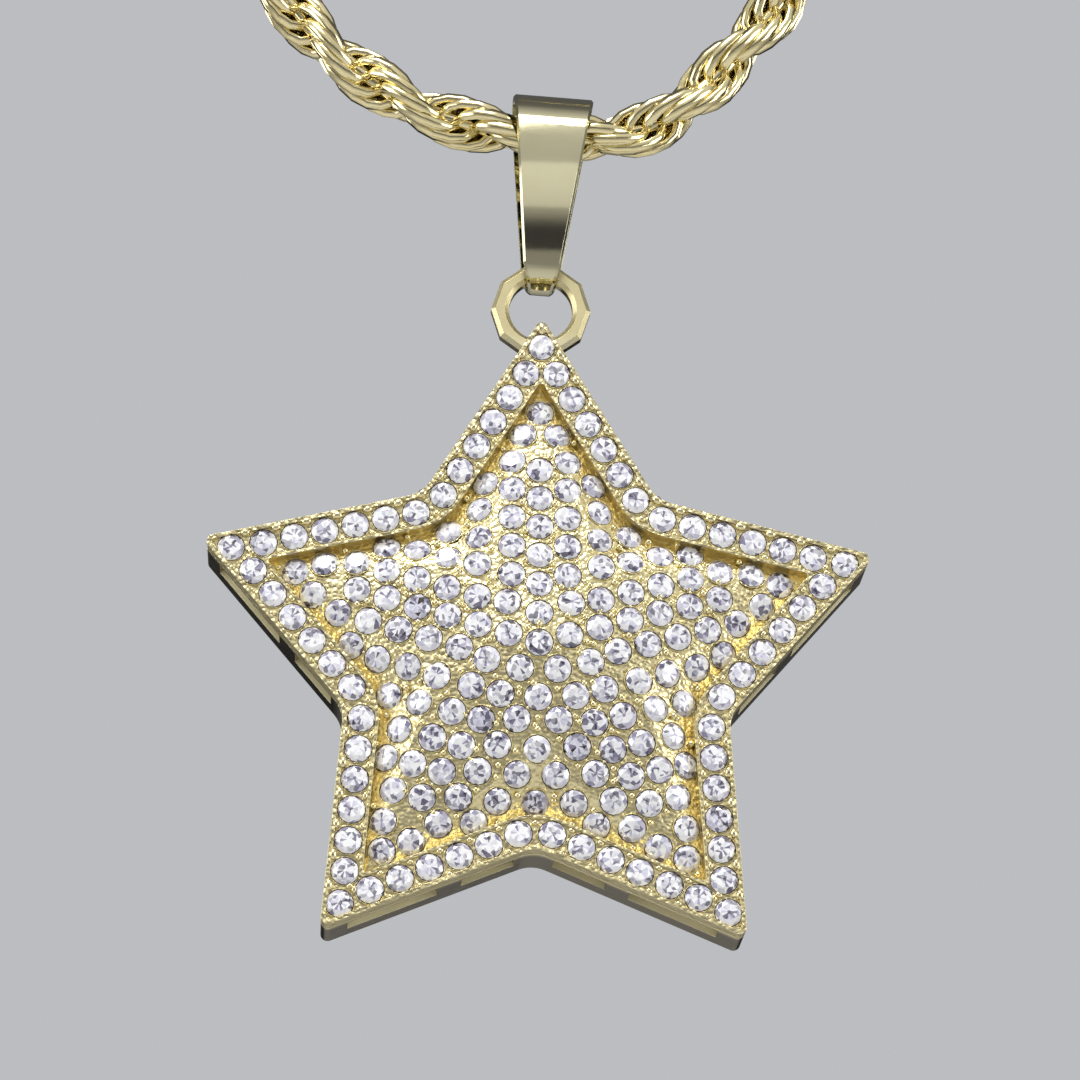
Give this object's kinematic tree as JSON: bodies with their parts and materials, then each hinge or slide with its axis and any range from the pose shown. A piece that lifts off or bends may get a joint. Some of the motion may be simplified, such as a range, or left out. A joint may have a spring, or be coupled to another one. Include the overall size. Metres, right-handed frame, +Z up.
{
  "type": "star pendant necklace",
  "caption": "Necklace: a domed cast star set all over with round cut stones, hung by a ring and a folded bail from a twisted rope chain that closes in a plain barrel clasp.",
  "frame": {"origin": "middle of the clasp, where the chain rests on the nape", "axes": "+Z up, the star hangs below and faces -Y, +X to the right of someone who looks at the star's face"},
  "size_m": [0.135, 0.1278, 0.2622],
  "materials": {
    "polished_gold": "polished pale gold plating, darker in the grooves",
    "chain_gold": "bright drawn wire, gold plated",
    "crystal": "clear cut stones with a dark foil behind them"
  },
  "bodies": {
    "necklace": {"rope_chain": "chain_gold", "clasp": "chain_gold"},
    "bail": {"bail": "polished_gold"},
    "star": {"star_frame": "polished_gold", "border_stones": "crystal", "field_stones": "crystal"}
  },
  "joints": [
    {"name": "bail_swing", "type": "hinge", "parent": "necklace", "child": "bail", "pos_m": [0, -0.119, -0.187], "axis": [0.9986, 0, -0.0523], "range_deg": [-90, 90]},
    {"name": "star_swing", "type": "hinge", "parent": "bail", "child": "star", "pos_m": [-0.00069, -0.119, -0.20018], "axis": [0.9986, 0, -0.0523], "range_deg": [-90, 90]}
  ]
}
